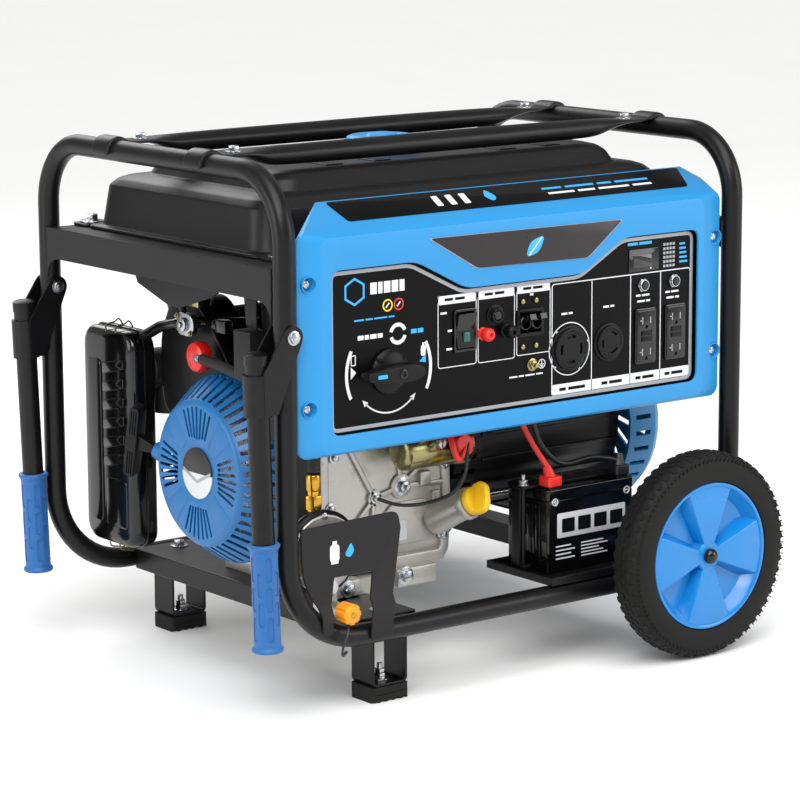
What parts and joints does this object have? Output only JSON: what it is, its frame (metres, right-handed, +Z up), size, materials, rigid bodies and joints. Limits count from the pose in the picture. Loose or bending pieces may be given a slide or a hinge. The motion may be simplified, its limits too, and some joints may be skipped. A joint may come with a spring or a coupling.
{
  "type": "portable generator",
  "caption": "Open-frame portable generator: tube cradle, fuel tank, recoil-start engine, alternator, outlet panel, battery, gas inlet, folding handles and a wheel kit.",
  "frame": {"origin": "on the floor below the centre of the bounding box", "axes": "+X along the machine from the recoil-start end to the wheels, the longest extent; +Y from the control panel to the rear; +Z up"},
  "size_m": [0.7462, 0.6544, 0.6352],
  "materials": {
    "black_steel": "satin powder coat",
    "blue_plastic": "satin moulded",
    "black_plastic": "satin moulded",
    "gloss_black": "glossy moulded",
    "rubber": "moulded",
    "tyre": "moulded tread",
    "zinc_steel": "zinc plated",
    "cast_aluminium": "as cast",
    "red_rubber": "cable sheath",
    "yellow_plastic": "moulded",
    "orange_plastic": "moulded"
  },
  "bodies": {
    "machine": {"frame_hoop_left": "black_steel", "frame_hoop_right": "black_steel", "top_bar_front": "black_steel", "top_bar_rear": "black_steel", "tank_rail_left": "black_steel", "tank_rail_right": "black_steel", "cross_member_left": "black_steel", "cross_member_axle": "black_steel", "foot_bracket_front": "black_steel", "foot_bracket_rear": "black_steel", "wheel_axle": "black_steel", "fuel_tank": "black_steel", "blower_housing": "black_steel", "alternator_housing": "black_steel", "muffler": "black_steel", "battery_tray": "black_steel", "lpg_plate": "black_steel", "panel_bezel": "blue_plastic", "recoil_cover": "blue_plastic", "alternator_cover": "blue_plastic", "panel_face": "black_plastic", "control_box": "black_plastic", "twist_outlet_large": "black_plastic", "twist_outlet_small": "black_plastic", "duplex_outlet_left": "black_plastic", "duplex_outlet_right": "black_plastic", "battery": "black_plastic", "air_filter_box": "gloss_black", "rubber_foot_front": "rubber", "rubber_foot_rear": "rubber", "battery_cable_black": "rubber", "lpg_hose": "rubber", "pivot_bolt_front": "zinc_steel", "pivot_bolt_rear": "zinc_steel", "starter_motor": "zinc_steel", "crankcase": "cast_aluminium", "cylinder_head": "cast_aluminium", "carburettor": "cast_aluminium", "lpg_regulator": "cast_aluminium", "battery_cable_red": "red_rubber"},
    "front handle": {"handle_front": "black_steel", "grip_front": "blue_plastic"},
    "rear handle": {"handle_rear": "black_steel", "grip_rear": "blue_plastic"},
    "front wheel": {"tyre_front": "tyre", "wheel_rim_front": "blue_plastic"},
    "rear wheel": {"tyre_rear": "tyre", "wheel_rim_rear": "blue_plastic"},
    "filler cap": {"fuel_cap": "blue_plastic"},
    "fuel selector": {"selector_knob": "black_plastic"},
    "engine rocker": {"engine_switch": "black_plastic"},
    "main breaker": {"main_breaker_toggle": "black_plastic"},
    "dc breaker": {"dc_breaker_button": "black_plastic"},
    "left reset": {"reset_button_left": "zinc_steel"},
    "right reset": {"reset_button_right": "zinc_steel"},
    "recoil grip": {"starter_grip": "black_plastic"},
    "oil dipstick": {"dipstick": "yellow_plastic"},
    "gas cap": {"lpg_inlet_cap": "orange_plastic"},
    "crankshaft and rotor": {"crankshaft": "zinc_steel"}
  },
  "joints": [
    {"name": "front_handle_fold", "type": "hinge", "parent": "machine", "child": "front handle", "pos_m": [-0.31945, -0.2412, 0.4425], "axis": [0, 1, 0], "range_deg": [0, 90]},
    {"name": "rear_handle_fold", "type": "hinge", "parent": "machine", "child": "rear handle", "pos_m": [-0.31945, 0.2412, 0.4425], "axis": [0, 1, 0], "range_deg": [0, 90]},
    {"name": "front_wheel_spin", "type": "hinge", "parent": "machine", "child": "front wheel", "pos_m": [0.24755, -0.2412, 0.12552], "axis": [0, 1, 0], "continuous": true},
    {"name": "rear_wheel_spin", "type": "hinge", "parent": "machine", "child": "rear wheel", "pos_m": [0.24755, 0.2412, 0.12552], "axis": [0, 1, 0], "continuous": true},
    {"name": "filler_cap_twist", "type": "hinge", "parent": "machine", "child": "filler cap", "pos_m": [0.00555, 0.0058, 0.6038], "axis": [0, 0, 1], "range_deg": [0, 90]},
    {"name": "fuel_selector_turn", "type": "hinge", "parent": "machine", "child": "fuel selector", "pos_m": [-0.17495, -0.2392, 0.3875], "axis": [0, 1, 0], "range_deg": [0, 180]},
    {"name": "engine_rocker_tip", "type": "hinge", "parent": "machine", "child": "engine rocker", "pos_m": [-0.06645, -0.2372, 0.4225], "axis": [1, 0, 0], "range_deg": [-12, 0]},
    {"name": "main_breaker_throw", "type": "hinge", "parent": "machine", "child": "main breaker", "pos_m": [0.03055, -0.2312, 0.4215], "axis": [1, 0, 0], "range_deg": [0, 40]},
    {"name": "dc_breaker_press", "type": "slide", "parent": "machine", "child": "dc breaker", "axis": [0, 1, 0], "range_m": [0, 0.003], "stiffness_N_per_m": 300, "springref_m": -0.002},
    {"name": "left_reset_press", "type": "slide", "parent": "machine", "child": "left reset", "axis": [0, 1, 0], "range_m": [0, 0.003], "stiffness_N_per_m": 300, "springref_m": -0.002},
    {"name": "right_reset_press", "type": "slide", "parent": "machine", "child": "right reset", "axis": [0, 1, 0], "range_m": [0, 0.003], "stiffness_N_per_m": 300, "springref_m": -0.002},
    {"name": "recoil_grip_pull", "type": "slide", "parent": "machine", "child": "recoil grip", "axis": [-0.3998, 0.8696, 0.2899], "range_m": [0, 0.08], "stiffness_N_per_m": 60, "springref_m": -0.05},
    {"name": "dipstick_twist", "type": "hinge", "parent": "machine", "child": "oil dipstick", "pos_m": [-0.00145, -0.1792, 0.2045], "axis": [0.2504, -0.8514, 0.4608], "range_deg": [0, 180]},
    {"name": "gas_cap_twist", "type": "hinge", "parent": "machine", "child": "gas cap", "pos_m": [-0.24645, -0.2412, 0.1225], "axis": [0, 1, 0], "range_deg": [0, 180]},
    {"name": "crankshaft_spin", "type": "hinge", "parent": "machine", "child": "crankshaft and rotor", "pos_m": [-0.31945, -0.0292, 0.2515], "axis": [1, 0, 0], "continuous": true}
  ]
}
